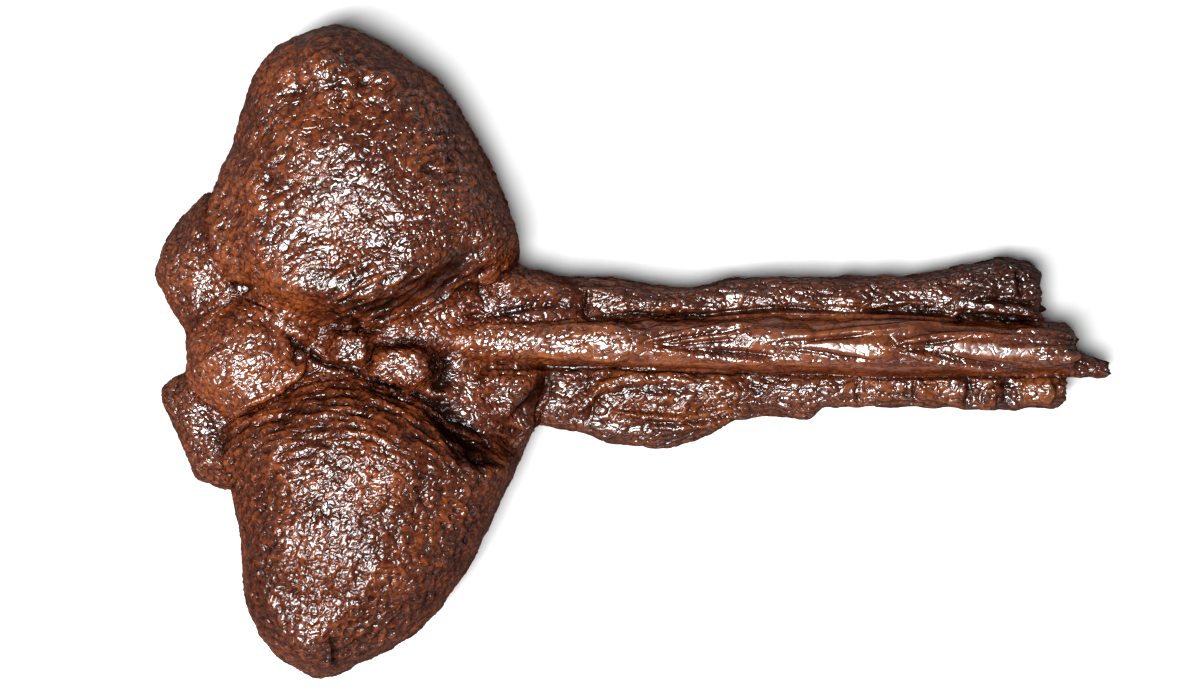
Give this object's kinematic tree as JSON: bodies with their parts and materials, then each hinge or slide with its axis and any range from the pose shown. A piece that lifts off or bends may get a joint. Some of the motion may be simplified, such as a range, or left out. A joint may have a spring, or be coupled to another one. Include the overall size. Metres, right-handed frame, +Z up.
{
  "type": "fossil tail club",
  "caption": "Tail club of an armoured dinosaur as a varnished fossil: a broad knob of rounded armour bones on a stiff handle of interlocked vertebrae and bony tendons.",
  "frame": {"origin": "on the floor, under the middle of the club's outline", "axes": "+X along the handle, from the tip of the tail towards the body; +Y to the animal's left; +Z up, away from the underside that the club lies on"},
  "size_m": [0.8131, 0.5541, 0.1907],
  "materials": {
    "armour_bone": "fossil bone, wrinkled, glossy varnish",
    "core_bone": "fossil bone, rough, glossy varnish",
    "vertebra_bone": "fossil bone, smooth and streaked, glossy varnish",
    "tendon_bone": "fossil bone, fibrous, glossy varnish"
  },
  "bodies": {
    "root": {"major_osteoderm_left": "armour_bone", "major_osteoderm_right": "armour_bone", "terminal_osteoderm_left": "armour_bone", "terminal_osteoderm_right": "armour_bone", "midline_osteoderm_rear": "armour_bone", "midline_osteoderm_front": "armour_bone", "tail_tip_boss": "core_bone", "knob_core": "core_bone", "handle_buttress_left": "core_bone", "handle_buttress_right": "core_bone", "vertebra_1": "vertebra_bone", "vertebra_2": "vertebra_bone", "vertebra_3": "vertebra_bone", "vertebra_4": "vertebra_bone", "vertebra_5": "vertebra_bone", "tendon_bundle_left": "tendon_bone", "tendon_bundle_right": "tendon_bone", "broken_prong": "tendon_bone"}
  },
  "joints": []
}
